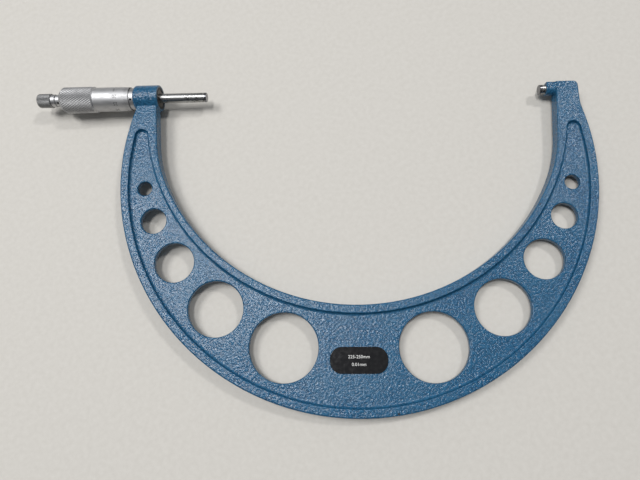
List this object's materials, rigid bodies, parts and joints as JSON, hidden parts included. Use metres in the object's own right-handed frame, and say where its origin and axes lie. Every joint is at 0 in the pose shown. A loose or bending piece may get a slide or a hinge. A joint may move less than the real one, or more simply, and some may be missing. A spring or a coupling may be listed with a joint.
{
  "type": "outside micrometer",
  "caption": "Large outside micrometer: pierced C-shaped blue frame, carbide-faced anvil and spindle, graduated thimble, ratchet stop and spindle lock.",
  "frame": {"origin": "centre of the anvil's measuring face", "axes": "+X along the measuring axis into the anvil, +Y out of the open throat, +Z through the frame's thickness towards the side with the range plate"},
  "size_m": [0.3732, 0.2183, 0.0203],
  "materials": {
    "hammertone_blue": "hammertone enamel, glossy, blue",
    "ground_steel": "hardened steel, finely ground",
    "carbide": "tungsten carbide, lapped",
    "satin_chrome": "satin chrome plate",
    "ratchet_steel": "dark plated steel, fine knurl",
    "turned_steel": "turned steel, oiled",
    "spring_steel": "spring wire",
    "brass": "turned brass",
    "black_plate": "glossy black enamel on thin metal"
  },
  "bodies": {
    "frame": {"frame": "hammertone_blue", "anvil": "ground_steel", "anvil_tip": "carbide", "range_plate": "black_plate", "front_plate": "black_plate", "inner_sleeve": "turned_steel", "outer_sleeve": "satin_chrome", "adjusting_nut": "turned_steel"},
    "spindle_face": {"spindle_tip": "carbide"},
    "thimble_and_spindle": {"spindle": "ground_steel", "thimble": "satin_chrome", "ratchet_body": "satin_chrome", "ratchet_wheel": "turned_steel", "ratchet_washer": "turned_steel", "ratchet_screw": "turned_steel"},
    "ratchet_knob": {"ratchet_knob": "ratchet_steel", "ratchet_spring": "spring_steel"},
    "ratchet_pawl": {"ratchet_pawl": "turned_steel"},
    "lock_lever": {"lock_lever": "satin_chrome", "lock_stud": "turned_steel", "lock_lever_screw": "turned_steel"},
    "lock_pad": {"lock_pad": "brass"}
  },
  "joints": [
    {"name": "spindle_slide", "type": "slide", "parent": "frame", "child": "spindle_face", "axis": [-1, 0, 0], "range_m": [0, 0.025]},
    {"name": "thimble_turn", "type": "hinge", "parent": "spindle_face", "child": "thimble_and_spindle", "pos_m": [-0.3, 0, 0], "axis": [-1, 0, 0], "range_deg": [0, 18000]},
    {"name": "ratchet_turn", "type": "hinge", "parent": "thimble_and_spindle", "child": "ratchet_knob", "pos_m": [-0.338, 0, 0], "axis": [-1, 0, 0], "continuous": true},
    {"name": "pawl_slide", "type": "slide", "parent": "ratchet_knob", "child": "ratchet_pawl", "axis": [-1, 0, 0], "range_m": [0, 0.0005], "stiffness_N_per_m": 200, "deforming": ["ratchet_spring"]},
    {"name": "lock_turn", "type": "hinge", "parent": "frame", "child": "lock_lever", "pos_m": [-0.26575, 0, -0.0102], "axis": [0, 0, 1], "range_deg": [0, 60]},
    {"name": "lock_pad_slide", "type": "slide", "parent": "frame", "child": "lock_pad", "axis": [0, 0, 1], "range_m": [0, 0.0001]}
  ],
  "couplings": [
    {"joint": "thimble_turn", "follows": "spindle_slide", "rad_per_m": 12566},
    {"joint": "lock_turn", "follows": "lock_pad_slide", "rad_per_m": 10472}
  ]
}
